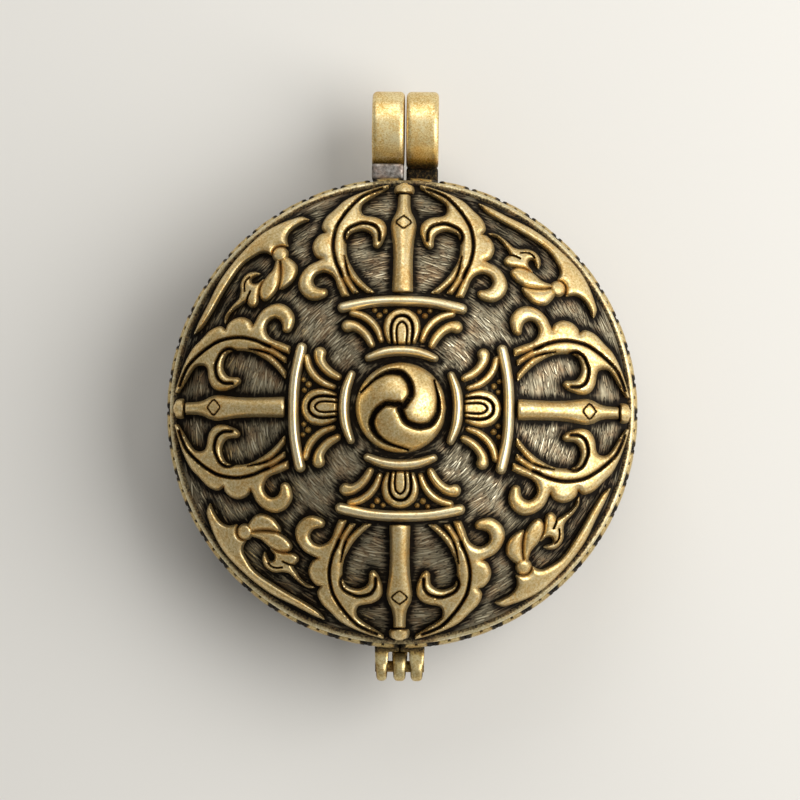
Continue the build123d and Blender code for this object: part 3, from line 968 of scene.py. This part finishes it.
@dataclass
class CornerScroll:
    """A leaf scroll between two arms, drawn in the top right corner and turned to the others."""

    rise: float = 0.95

    def beads(self) -> list[Bead]:
        """The scroll's leaf, ball, petals and curled head."""
        leaf = [
            [(7.9, 21.95), (9.0, 21.5), (11.0, 20.5), (13.5, 19.3), (15.5, 17.9), (17.2, 16.4), (18.5, 15.0),
             (19.4, 13.5), (20.0, 12.0), (20.3, 10.8), (20.0, 10.0)],
            [(20.0, 10.0), (19.5, 11.1), (18.9, 11.9), (18.2, 12.3), (17.6, 12.3), (17.1, 12.15)],
            [(17.1, 12.15), (17.15, 12.9), (17.0, 13.4), (16.6, 13.75), (16.2, 13.85)],
            [(16.2, 13.85), (16.5, 14.4), (16.5, 15.0), (16.1, 15.8), (15.5, 16.7), (14.6, 17.5),
             (13.5, 18.2), (12.0, 19.1), (10.0, 20.2), (8.5, 21.2), (7.9, 21.95)],
        ]
        upper = [[(15.6, 13.25), (14.5, 13.6), (13.8, 14.2), (13.2, 14.6), (12.4, 14.9), (11.7, 14.85),
                  (11.25, 14.45), (11.4, 14.0), (12.0, 13.4), (12.8, 13.0), (13.7, 12.87), (14.7, 12.87),
                  (15.6, 12.95)], [(15.6, 12.95), (15.6, 13.25)]]
        lower = [[(15.6, 12.85), (14.7, 12.68), (13.6, 12.66), (12.8, 12.78), (12.45, 12.8), (12.5, 12.5),
                  (12.8, 12.0), (13.4, 11.4), (14.2, 11.1), (14.9, 11.15), (15.5, 11.7), (15.9, 12.3)],
                 [(15.9, 12.3), (15.6, 12.85)]]
        head = [[(8.9, 18.6), (9.6, 18.55), (10.3, 18.15), (10.95, 17.6), (11.5, 17.12), (12.2, 16.95),
                 (13.0, 17.0), (13.7, 16.75), (14.2, 16.2), (14.3, 15.5), (14.12, 15.0)],
                [(14.12, 15.0), (13.95, 15.4), (13.8, 15.78), (13.5, 15.98), (13.15, 15.9), (12.98, 15.55),
                 (13.05, 15.15), (13.3, 14.85), (13.5, 14.6)],
                [(13.5, 14.6), (12.6, 14.98), (11.8, 15.1), (11.1, 15.15), (10.65, 15.4), (10.6, 15.75),
                 (10.9, 16.1), (11.2, 16.3), (11.1, 16.65), (10.8, 17.1), (10.4, 17.7), (9.8, 18.25),
                 (9.3, 18.45), (8.9, 18.6)]]
        brow = Cut([(12.25, 16.55), (12.9, 16.6), (13.4, 16.45), (13.75, 16.1)], 0.14, 0.28)
        jaw = Cut([(11.0, 16.35), (11.6, 16.2), (12.2, 15.95)], 0.15, 0.35)
        return [
            Bead(leaf, self.rise, 0.65, 0.35),
            Bead(disc((16.2, 12.9), 0.78), self.rise + 0.1, 0.6, 0.4),
            Bead(upper, self.rise + 0.1, 0.65, 0.35),
            Bead(lower, self.rise + 0.1, 0.65, 0.35),
            Bead(head, self.rise, 0.45, 0.35, [jaw, brow], 0.09),
        ]

    def build(self, shop: Workshop) -> None:
        """Carves the scroll once and sets its four copies on the cover.

        Args:
            shop: The workshop that dresses the pieces.
        """
        form = carve(self.beads())
        for corner in Corner:
            shop.set_relief(form, f"scroll_{corner.name.lower()}", corner.value)


@dataclass
class Crown(Bead):
    """The hub's island: a round crown that falls away to its edge."""

    radius: float = 4.55

    def lifted(self, points: np.ndarray, depth_in: np.ndarray) -> np.ndarray:
        """Lift of the crown's points over the dome, from how far each lies inside the outline."""
        fall = (1 - np.clip(depth_in / self.radius, 0, 1)) ** 2.2
        return self.rise - (self.rise - self.wall) * fall - 0.25 * (1 - ease(depth_in / 0.3))


@dataclass
class HubWhirl:
    """The round boss in the middle, carved into three commas that chase each other."""

    rise: float = 2.85
    wall: float = 1.0
    course: tuple[Point, ...] = (
        (0.0, -110.0), (0.28, -85.0), (0.57, -55.0), (1.54, -41.0), (2.12, -28.0), (2.69, -17.0),
        (3.14, -7.0), (3.43, 0.0), (3.62, 10.0), (3.78, 22.0), (3.85, 35.0), (3.92, 45.0),
        (4.05, 57.0), (4.38, 70.0))
    groove_half: float = 0.5
    groove_depth: float = 0.6
    heads: tuple[float, ...] = (90.0, 210.0, 330.0)

    def grooves(self) -> list[list[Point]]:
        """The three grooves, each from the middle out to the boss's edge."""
        return [[(radius * math.cos(math.radians(head + turn)), radius * math.sin(math.radians(head + turn)))
                 for radius, turn in self.course] for head in self.heads]

    def build(self, shop: Workshop) -> None:
        """Carves the boss on the crown of the dome.

        Args:
            shop: The workshop that dresses the piece.
        """
        cuts = [Cut(line, self.groove_half, self.groove_depth, narrowed=0.3) for line in self.grooves()]
        edge = disc((0.0, 0.0), Crown.radius)
        boss = Crown(edge, self.rise, 1.25, self.wall, cuts, 0.09, bright=0.64, pillow=0.6)
        shop.set_relief(boss.carved(), "hub_boss", 0.0)


def bare_ground(points: np.ndarray) -> np.ndarray:
    """Measures how far points of the dome lie from the ornaments.

    Args:
        points: Points in plan.

    Returns:
        The distance of each to the nearest ornament, 0 under one.
    """
    angle = np.degrees(np.arctan2(points[:, 1], points[:, 0]))
    radius = from_middle(points)
    to_arm = np.radians((angle + 45) % 90 + 45)
    to_corner = np.radians(angle % 90)
    arm = np.column_stack([np.abs(radius * np.cos(to_arm)), radius * np.sin(to_arm)])
    corner = np.column_stack([radius * np.cos(to_corner), radius * np.sin(to_corner)])
    margin = 1.5
    bare = np.clip(radius - Crown.radius, 0, margin)
    for plan, beads in ((arm, VajraArm().beads()), (corner, CornerScroll().beads())):
        for bead in beads:
            loop = bead.outline(0.25)
            low, high = loop.min(axis=0) - margin, loop.max(axis=0) + margin
            near = np.flatnonzero(np.all((plan > low) & (plan < high), axis=1))
            gap = np.where(inside(plan[near], loop), 0, reach(plan[near], loop, True))
            bare[near] = np.minimum(bare[near], gap)
    return bare


@dataclass
class ChasedGround:
    """The hatching between the ornaments: short punched ridges that run round the middle."""

    first: float = 5.7
    last: float = 23.6
    pitch: float = 0.27
    lengths: Point = (0.9, 2.6)
    gaps: Point = (0.05, 0.5)
    half_width: float = 0.13
    crest_share: float = 0.45
    heights: Point = (0.06, 0.14)
    tilt: float = 0.13
    step: float = 0.28
    clear: float = 0.28
    # How far from an ornament the painted shade on the strokes reaches.
    painted_shade_reach: float = 1.1
    seed: int = 11

    def strokes(self) -> list[np.ndarray]:
        """Lays out every stroke round the dome, before the ornaments cut them short.

        Returns:
            One row of plan points for each stroke.
        """
        draw = np.random.default_rng(self.seed)
        rows = []
        for radius in np.arange(self.first, self.last, self.pitch):
            turned_by = draw.uniform(0, 0.5)
            while turned_by < 2 * math.pi:
                length = draw.uniform(*self.lengths)
                along = np.linspace(0, length, max(3, round(length / self.step) + 1))
                drift = (along - length / 2) * draw.normal(0, self.tilt)
                ring = radius + drift + draw.normal(0, 0.04)
                angle = turned_by + along / radius
                rows.append(np.column_stack([ring * np.cos(angle), ring * np.sin(angle)]))
                turned_by += (length + draw.uniform(*self.gaps)) / radius
        return rows

    def build(self, shop: Workshop) -> None:
        """Raises the strokes, one piece for each corner of the cover.

        Args:
            shop: The workshop that dresses the pieces.
        """
        draw = np.random.default_rng(self.seed + 1)
        rows = self.strokes()
        bare = np.split(bare_ground(np.vstack(rows)), np.cumsum([len(row) for row in rows])[:-1])
        parts: dict[Corner, list[Carving]] = {corner: [] for corner in Corner}
        for row, room in zip(rows, bare):
            clear = np.concatenate([[False], room > self.clear, [False]])
            bounds = np.flatnonzero(np.diff(clear.astype(int)))
            for start, end in zip(bounds[::2], bounds[1::2]):
                if end - start >= 3:
                    middle = row[start:end].mean(axis=0)
                    turn = math.degrees(math.atan2(middle[1], middle[0])) % 360 // 90 * 90
                    parts[Corner(int(turn))].append(self.ridge(row[start:end], room[start:end], draw))
        for corner, ridges in parts.items():
            piece = Carving.gathered(ridges).set_on(f"chased_ground_{corner.name.lower()}", 0.0)
            shop.fasten(piece, Finish.GROUND, Body.COVER)

    def ridge(self, row: np.ndarray, room: np.ndarray, draw: np.random.Generator) -> Carving:
        """Raises one stroke as a closed ridge with tapered ends, darkened by painted shade next to an
        ornament.

        Args:
            row: Points along the stroke.
            room: How far each lies from the ornaments.
            draw: Source of its small differences.

        Returns:
            The ridge.
        """
        count = len(row)
        ahead = np.gradient(row, axis=0)
        across = np.stack([-ahead[:, 1], ahead[:, 0]], axis=1) / np.linalg.norm(ahead, axis=1)[:, None]
        taper = np.sqrt(np.clip(1 - np.linspace(-1, 1, count) ** 4, 0.06, 1))
        half = (self.half_width * draw.uniform(0.8, 1.15) * taper)[:, None] * across
        height = draw.uniform(*self.heights) * taper
        # Beside each ornament the strokes fade dark: painted shade in the hollow next to the raised relief.
        shine = draw.uniform(0.45, 0.9) * taper * (0.3 + 0.7 * ease((room - self.clear) / self.painted_shade_reach))
        foot = np.full(count, -0.04)
        crest = self.crest_share * half
        plan = np.vstack([row - half, row - crest, row + crest, row + half])
        faces = [(a * count + i, a * count + i + 1, b * count + i + 1, b * count + i)
                 for i in range(count - 1) for a, b in ((0, 1), (1, 2), (2, 3), (3, 0))]
        faces += [(0, count, 2 * count, 3 * count), (4 * count - 1, 3 * count - 1, 2 * count - 1, count - 1)]
        return Carving(plan, np.concatenate([foot, height, height, foot]),
                       np.concatenate([0.2 * shine, shine, shine, 0.2 * shine]), faces)


# Shells


@dataclass
class SideBand:
    """A side band with its frieze of lotus petals, whose gaps open towards the edge of the shell."""

    seam_radius: float = 25.0
    edge_radius: float = 24.4
    inner_radius: float = 23.6
    roundness: float = 4.0
    petals: int = 44
    steps: int = 36
    rows: int = 36
    border: float = 0.4
    belly_half: float = 1.66
    tip_half: float = 0.94
    depth: float = 0.4
    line_inset: float = 0.4
    line_half: float = 0.12
    line_depth: float = 0.16
    dart_half: float = 0.18
    dart_depth: float = 0.3
    # Both ends of the dart, measured down from the edge of the band.
    dart_from: float = 0.5
    dart_to: float = 0.14
    belly_share: float = 0.25
    tip_power: float = 1.6
    bright: float = 0.7
    line_shade: float = 0.85
    side_shade: float = 0.82
    lining_wear: float = 0.2

    def frieze(self, across: np.ndarray, up: np.ndarray, height: float) -> tuple[np.ndarray, np.ndarray]:
        """Shapes the petals.

        Args:
            across: How far each point lies from its petal's middle, round the band.
            up: How far each lies from the seam.
            height: Height of the band.

        Returns:
            How far each point is sunk, and how far it is rubbed bright.
        """
        share = np.clip((up - self.border) / (height - self.border), 0, 1)
        narrowing = 1 - np.clip((share - self.belly_share) / (1 - self.belly_share), 0, 1) ** self.tip_power
        edge = self.tip_half + (self.belly_half - self.tip_half) * narrowing - np.abs(across)
        gap = ease((0.05 - edge) / 0.16) * ease((up - self.border) / 0.15)
        within = -np.log(np.exp(-5 * edge) + np.exp(-4 * (height - 0.1 - up))) / 5
        line = groove(np.abs(within - self.line_inset), self.line_half) * ease((up - self.border) / 0.1)
        fillet = groove(np.abs(up - self.border), self.line_half)
        past = np.maximum(np.maximum(height - self.dart_from - up, up - height + self.dart_to), 0)
        dart = groove(np.hypot(across, past), self.dart_half)
        swell = np.where(within > self.line_inset, 1 - rounded((within - self.line_inset) / 0.6), 0)
        hollow = gap * ease((height - 0.01 - up) / 0.08)
        sink = np.maximum.reduce(
            [self.depth * hollow, self.line_depth * np.maximum(line, fillet), self.dart_depth * dart])
        sides = ease((np.abs(across) - self.tip_half - 0.06) / 0.3)
        bright = self.bright * (1 - gap) * (1 - self.line_shade * line) * (1 - self.line_shade * fillet)
        bright = bright * (1 - dart) * (1 - self.side_shade * sides)
        return sink + 0.1 * swell, bright

    def build(self, name: str, seam_z: float, edge_z: float) -> bpy.types.Object:
        """Turns the band and sinks its frieze.

        Args:
            name: Name of the piece.
            seam_z: Height of the seam side.
            edge_z: Height of the edge side.

        Returns:
            The band as a ring.
        """
        shares = 1 - (1 - np.linspace(0, 1, self.rows + 1)) ** 1.35
        swell = np.sqrt(np.clip(1 - shares**self.roundness, 0, 1))
        face = [(float(self.edge_radius + (self.seam_radius - self.edge_radius) * w),
                 float(seam_z + (edge_z - seam_z) * s)) for s, w in zip(shares, swell)]
        profile = np.array(face + [(self.inner_radius, edge_z), (self.inner_radius, seam_z)])
        count, size = self.petals * self.steps, len(profile)
        turn = np.repeat(np.arange(count) / self.steps, size)
        radius, z = np.tile(profile.T, count)
        pitch = 2 * math.pi * self.seam_radius / self.petals
        sink, bright = self.frieze((turn % 1 - 0.5) * pitch, np.abs(z - seam_z), abs(edge_z - seam_z))
        outer = radius > self.inner_radius + 0.2
        carved = radius - np.where(outer, sink, 0)
        angle = turn * 2 * math.pi / self.petals
        places = np.column_stack([carved * np.cos(angle), carved * np.sin(angle), z])
        way = 1 if edge_z > seam_z else -1
        faces = []
        for here in range(count):
            start, after = here * size, (here + 1) % count * size
            for row in range(size):
                above = (row + 1) % size
                faces.append((start + row, after + row, after + above, start + above)[::way])
        return mesh_piece(name, places, faces, np.where(outer, bright, self.lining_wear))


@dataclass
class CoverShell:
    """The domed cover: its dome, the bead round the dome's foot and the side band."""

    bore: float = 23.45
    wall: float = 1.2
    shelf_drop: float = 0.35
    rim_half: float = 0.42
    rim_proud: float = 0.36
    rim_foot: float = 23.9
    # Half the width of the loops and of the hinge, beside which the bead stays dark.
    fittings_half: float = 4.2
    ground_wear: float = 0.43
    # Width of the black line of painted shade that the ground keeps round each ornament; past it the painted
    # shade fades over a millimetre.
    painted_shade_margin: float = 0.12
    lining_wear: float = 0.35
    steps: int = 360
    outer_points: int = 80
    inner_points: int = 20
    rim_points: int = 13

    def build(self, shop: Workshop) -> None:
        """Turns the cover's three pieces.

        Args:
            shop: The workshop that dresses the pieces.
        """
        seam = SEAM_Z + SEAM_GAP
        shelf = DOME.edge_z - self.shelf_drop
        outer = [(float(r), float(DOME.over(r))) for r in np.linspace(0, DOME.edge, self.outer_points)]
        inner = [(float(r), float(DOME.over(r, -self.wall)))
                 for r in np.linspace(self.bore, 0, self.inner_points)]
        profile = outer + [(DOME.edge, shelf), (DOME.edge, seam), (self.bore, seam)] + inner
        dome = lathed("cover_dome", profile, self.steps, 40)
        places = places_of(dome)
        above = places[:, 2] > DOME.over(from_middle(places), -self.wall / 3)
        room = bare_ground(places[:, :2])
        # The ground's wear, darkened to black by painted shade next to each ornament.
        rub(dome, np.where(above, self.ground_wear * ease(room - self.painted_shade_margin), self.lining_wear))
        shop.fasten(dome, Finish.GROUND, Body.COVER, "front_cover")
        dome.data.materials.append(shop.finishes[Finish.SHELL])
        lining = [0 if all(above[corner] for corner in face.vertices) else 1 for face in dome.data.polygons]
        dome.data.polygons.foreach_set("material_index", lining)
        band = SideBand().build("cover_band", seam, shelf)
        shop.fasten(band, Finish.SHELL, Body.COVER, "front_cover")
        slope = math.atan2(DOME.edge, DOME.edge_z - DOME.centre_z)
        rim = [(self.rim_foot, shelf + 0.02)]
        for turn in np.linspace(0, math.pi, self.rim_points):
            along, proud = self.rim_half * math.cos(turn), self.rim_proud * math.sin(turn)
            rim.append((DOME.edge + along * math.cos(slope) + proud * math.sin(slope),
                        DOME.edge_z - along * math.sin(slope) + proud * math.cos(slope)))
        strip = lathed("rim_bead", rim, self.steps, 60)
        places = places_of(strip)
        beside = ease((self.fittings_half - np.abs(places[:, 0])) / 1.2)
        crest = ease((from_middle(places) - DOME.edge + 0.1) / 0.3)
        rub(strip, (0.2 + 0.5 * crest) * (1 - 0.45 * beside))
        shop.fasten(strip, Finish.RIM, Body.COVER, "rim_strip")


@dataclass
class CaseShell:
    """The shallow case: flat rest, swept back, side band and the collar that the cover closes over."""

    flat: float = 7.0
    rest: float = 14.0
    band_edge: float = 24.5
    band_inset: float = 0.5
    bore: float = 23.3
    back_rise: float = 3.4
    wall: float = 1.2
    collar_inner: float = 22.45
    collar_outer: float = 23.25
    collar_low: float = 5.4
    collar_high: float = 9.2
    collar_edge: float = 0.15
    steps: int = 240
    wear: float = 0.3
    # The ring round the rest that lies on cloth is rubbed brighter.
    rubbed: float = 0.3
    ring_from: float = 10.0
    ring_to: float = 18.0
    # The inside floor is brighter in its middle and darker towards the wall: painted shade in the inner
    # corner.
    floor_painted_shade: float = 0.06

    def build(self, shop: Workshop) -> None:
        """Turns the case's three pieces.

        Args:
            shop: The workshop that dresses the pieces.
        """
        seam = SEAM_Z - SEAM_GAP
        reach_out = self.band_edge - self.rest
        sweep = (reach_out**2 + self.back_rise**2) / (2 * self.back_rise)

        def back(radius: float, inset: float) -> Point:
            """A point of the swept back, drawn in by an inset."""
            return (radius, sweep - math.sqrt((sweep - inset) ** 2 - (radius - self.rest) ** 2))

        outer = [(0.0, 0.0), (self.flat, 0.0)]
        outer += [back(float(r), 0) for r in np.linspace(self.rest, self.band_edge, 16)]
        inner = [back(float(r), self.wall) for r in np.linspace(self.bore, self.rest, 14)]
        mouth = self.band_edge - self.band_inset
        profile = outer + [(mouth, self.back_rise), (mouth, seam), (self.bore, seam)]
        profile += inner + [(self.flat, self.wall), (0.0, self.wall)]
        back_shell = lathed("case_back", profile, self.steps, 40)
        places = places_of(back_shell)
        radius = from_middle(places)
        swept = np.clip(radius - self.rest, 0, sweep)
        under = places[:, 2] < sweep - np.sqrt(sweep**2 - swept**2) + 0.5
        rubbed = self.rubbed * ease((radius - self.ring_from) / 4) * ease((self.ring_to - radius) / 6)
        # Painted shade on the inside floor, darker towards the wall.
        floor = self.floor_painted_shade * ease((20 - radius) / 10)
        rub(back_shell, self.wear + np.where(under, rubbed, floor))
        shop.fasten(back_shell, Finish.SHELL, Body.CASE, "back_case")
        band = SideBand().build("case_band", seam, self.back_rise)
        shop.fasten(band, Finish.SHELL, Body.CASE, "back_case")
        low, high, edge = self.collar_low, self.collar_high, self.collar_edge
        ring = [(self.collar_inner, low), (self.collar_outer, low), (self.collar_outer, high - edge),
                (self.collar_outer - edge * 0.3, high - edge * 0.3), (self.collar_outer - edge, high),
                (self.collar_inner + edge, high), (self.collar_inner + edge * 0.3, high - edge * 0.3),
                (self.collar_inner, high - edge)]
        collar = lathed("seat_ring", ring, self.steps, 40)
        rub(collar, self.wear)
        shop.fasten(collar, Finish.COLLAR, Body.CASE, "seat_collar")


# Fittings


def strap_section(half: float, inner: float, outer: float, inner_edge: float,
                  outer_edge: float) -> list[Point]:
    """Draws the rounded section of a strap or knuckle.

    Args:
        half: Half its width.
        inner: Radius of its bore.
        outer: Its outer radius.
        inner_edge: Rounding of the edges at the bore.
        outer_edge: Rounding of the outer edges.

    Returns:
        Points across and away from the axis.
    """
    corners = [(half, inner, 1, 1, inner_edge), (half, outer, 1, -1, outer_edge),
               (-half, outer, -1, -1, outer_edge), (-half, inner, -1, 1, inner_edge)]
    points = []
    for index, (x, radius, way_x, way_out, size) in enumerate(corners):
        start = math.radians(270 + 90 * index)
        turns = start + np.linspace(0, math.pi / 2, 5)
        points += [(x - way_x * size + size * math.cos(turn), radius + way_out * size + size * math.sin(turn))
                   for turn in turns]
    return points


@dataclass
class HangingLoop:
    """A cast strap loop with its solder foot, on one half of the box."""

    node: str
    middle_x: float
    side: int
    body: Body
    foot_finish: Finish
    foot_wear_and_painted_shade: float
    radius: float = 4.15
    bore: float = 2.65
    width: float = 3.45
    axis_y: float = 30.35
    inner_edge: float = 0.4
    outer_edge: float = 0.5
    foot_root: float = 24.7
    foot_head: float = 26.5
    foot_gap: float = 0.3
    foot_depth: float = 2.8
    foot_inset: float = 0.02
    foot_edge: float = 0.3
    foot_grain: float = 0.12
    foot_rounds: int = 3
    steps: int = 72
    grain: float = 0.1
    rounds: int = 5
    dark_below: float = 26.2
    dark_fade: float = 1.1

    def build(self, shop: Workshop) -> None:
        """Spins the strap and sets it on its solder foot.

        Args:
            shop: The workshop that dresses the pieces.
        """
        section = strap_section(self.width / 2, self.bore, self.radius, self.inner_edge, self.outer_edge)
        ring = rolled("strap", section, self.middle_x, self.axis_y, self.steps)
        loop = cast(f"cast_{self.node}", [ring], self.grain, self.rounds)
        places = places_of(loop)
        out = np.hypot(places[:, 1] - self.axis_y, places[:, 2] - SEAM_Z)
        bright = 0.15 + 0.62 * ease((out - self.bore) / (self.radius - self.bore - 0.2))
        rub(loop, bright * (0.15 + 0.85 * ease((places[:, 1] - self.dark_below) / self.dark_fade)))
        shop.fasten(loop, Finish.LOOP, self.body, self.node)
        half = self.width / 2 - self.foot_inset
        low, high = from_seam(self.side, self.foot_gap, self.foot_depth)
        lump = block((self.middle_x - half, self.foot_root, low),
                     (self.middle_x + half, self.foot_head, high), self.foot_edge)
        foot = cast(f"solder_{self.node}", [lump], self.foot_grain, self.foot_rounds)
        # The foot's tone: rubbed solder on the cover's loop, near black painted shade on the case's loop.
        rub(foot, self.foot_wear_and_painted_shade)
        shop.fasten(foot, self.foot_finish, self.body, self.node)


@dataclass
class Knuckle:
    """A rolled hinge knuckle with its leaf on one half of the box."""

    node: str
    middle_x: float
    width: float
    side: int
    body: Body
    hole: float
    radius: float = 1.55
    axis_y: float = -27.0
    narrowest: float = 0.8
    taper: float = 0.25
    root: float = 0.0
    leaf_gap: float = 0.3
    leaf_top: float = 1.5
    leaf_tip: float = -26.9
    root_tip: float = -25.42
    leaf_end: float = -24.6
    leaf_edge: float = 0.2
    root_edge: float = 0.15
    inner_edge: float = 0.08
    outer_edge: float = 0.5
    steps: int = 48
    grain: float = 0.07
    rounds: int = 8
    dark_from: float = -24.9

    def build(self, shop: Workshop) -> None:
        """Spins the knuckle, sets its leaf and melts them together.

        Args:
            shop: The workshop that dresses the piece.
        """
        half = self.width / 2
        section = strap_section(half, self.hole, self.radius, self.inner_edge, self.outer_edge)
        roll = rolled("roll", section, self.middle_x, self.axis_y, self.steps)
        low, high = from_seam(self.side, self.leaf_gap, self.leaf_top)
        leaf = block((self.middle_x - half, self.leaf_tip, low),
                     (self.middle_x + half, self.leaf_end, high), self.leaf_edge)
        ends = sorted((self.middle_x, self.middle_x - math.copysign(half + self.root, self.middle_x)))
        root = block((ends[0], self.root_tip, low), (ends[1], self.leaf_end, high), self.root_edge)
        knuckle = cast(f"cast_{self.node}", [roll, leaf, root], self.grain, self.rounds)
        places = places_of(knuckle)
        taper = self.narrowest + self.taper * ease((places[:, 1] - self.axis_y + self.radius) / 3.5)
        places[:, 0] = self.middle_x + (places[:, 0] - self.middle_x) * taper
        knuckle.data.vertices.foreach_set("co", (places * MM).ravel())
        knuckle.data.update()
        out = np.hypot(places[:, 1] - self.axis_y, places[:, 2] - SEAM_Z)
        rub(knuckle, 0.1 + 0.6 * ease((out - 1.0) / 0.5) * ease((self.dark_from - places[:, 1]) / 1.2))
        shop.fasten(knuckle, Finish.HINGE, self.body, self.node)


# The set


@dataclass
class Studio:
    """A pale floor, soft light and the camera that looks down on the box."""

    pixels: int = 800
    focal_pixels: float = 3274.6
    distance: float = 350.0
    tilt_x: float = 0.7
    tilt_y: float = 2.6
    roll: float = 0.65
    slide: Point = (-0.26, 1.41)
    sensor: float = 36.0
    floor_size: float = 3.0
    floor_drop: float = 0.0002
    glow: float = 0.32
    # Place and side in millimetres, then power in watts.
    key: tuple[tuple[float, float, float], float, float] = ((290, 30, 260), 400, 2.1)
    edge: tuple[tuple[float, float, float], float, float] = ((-30, 340, 230), 280, 0.55)

    def camera(self) -> None:
        """Sets the camera at the photograph's angle."""
        back = Vector((math.sin(math.radians(self.tilt_x)), -math.sin(math.radians(self.tilt_y)), 1.0))
        back.normalize()
        right = Vector((0, 1, 0)).cross(back).normalized()
        up = back.cross(right)
        swing = math.radians(self.roll)
        level = right * math.cos(swing) + up * math.sin(swing)
        upright = up * math.cos(swing) - right * math.sin(swing)
        place = Vector((0, 0, SEAM_Z)) + back * self.distance + level * self.slide[0]
        place += upright * self.slide[1]
        data = bpy.data.cameras.new("camera")
        data.sensor_width = self.sensor
        data.lens = self.focal_pixels / self.pixels * self.sensor
        data.clip_start = 0.01
        data.clip_end = 20
        camera = bpy.data.objects.new("camera", data)
        turn = Matrix((level, upright, back)).transposed()
        camera.matrix_world = Matrix.Translation(place * MM) @ turn.to_4x4()
        bpy.context.scene.collection.objects.link(camera)
        bpy.context.scene.camera = camera

    def softbox(self, name: str, place: tuple[float, float, float], size: float, power: float) -> None:
        """Hangs a square softbox that faces the box.

        Args:
            name: Its name.
            place: Where it hangs, in millimetres.
            size: Its side in millimetres.
            power: Its power in watts.
        """
        data = bpy.data.lights.new(name, "AREA")
        data.shape = "SQUARE"
        data.size = size * MM
        data.energy = power
        lamp = bpy.data.objects.new(name, data)
        lamp.location = Vector(place) * MM
        lamp.rotation_euler = (Vector((0, 0, 10)) - Vector(place)).to_track_quat("-Z", "Y").to_euler()
        bpy.context.scene.collection.objects.link(lamp)

    def build(self) -> None:
        """Lays the floor and sets lights, world and camera."""
        bpy.ops.object.select_all(action="DESELECT")
        bpy.ops.mesh.primitive_plane_add(size=self.floor_size, location=(0, 0, -self.floor_drop))
        floor = bpy.context.object
        floor.name = "floor"
        # Matt painted board: even and pale, with no shine.
        paint = bpy.data.materials.new("matt_painted_board")
        paint.use_nodes = True
        shader = paint.node_tree.nodes["Principled BSDF"]
        shader.inputs["Base Color"].default_value = linear("#D9D6CF")
        shader.inputs["Roughness"].default_value = 0.9
        floor.data.materials.append(paint)
        world = bpy.data.worlds.new("studio")
        world.use_nodes = True
        sky = world.node_tree.nodes["Background"]
        sky.inputs["Color"].default_value = (1.0, 1.0, 1.0, 1.0)
        sky.inputs["Strength"].default_value = self.glow
        bpy.context.scene.world = world
        self.softbox("key", *self.key)
        self.softbox("edge", *self.edge)
        self.camera()
        bpy.context.scene.view_settings.view_transform = "Standard"


def main() -> None:
    """Builds the box piece by piece, then the set."""
    logging.basicConfig(level=logging.INFO, format="%(name)s %(message)s")
    shop = Workshop()
    CoverShell().build(shop)
    CaseShell().build(shop)
    HubWhirl().build(shop)
    VajraArm().build(shop)
    CornerScroll().build(shop)
    ChasedGround().build(shop)
    HangingLoop("cover_loop", -1.825, 1, Body.COVER, Finish.SOLDER, 0.55).build(shop)
    # Its foot is near black: painted shade, where it sits in the dark under the cover.
    HangingLoop("case_loop", 1.825, -1, Body.CASE, Finish.HINGE, 0.12).build(shop)
    Knuckle("case_knuckle", 0.0, 1.6, -1, Body.CASE, 0.65).build(shop)
    Knuckle("cover_knuckle_left", -1.9, 1.4, 1, Body.COVER, 0.62, root=1.05).build(shop)
    Knuckle("cover_knuckle_right", 1.82, 1.56, 1, Body.COVER, 0.62, root=0.9).build(shop)
    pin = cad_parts["hinge_pin"]
    pin.data.materials.clear()
    pin.data.materials.append(shop.finishes[Finish.COLLAR])
    Studio().build()


if __name__ == "__main__":
    main()
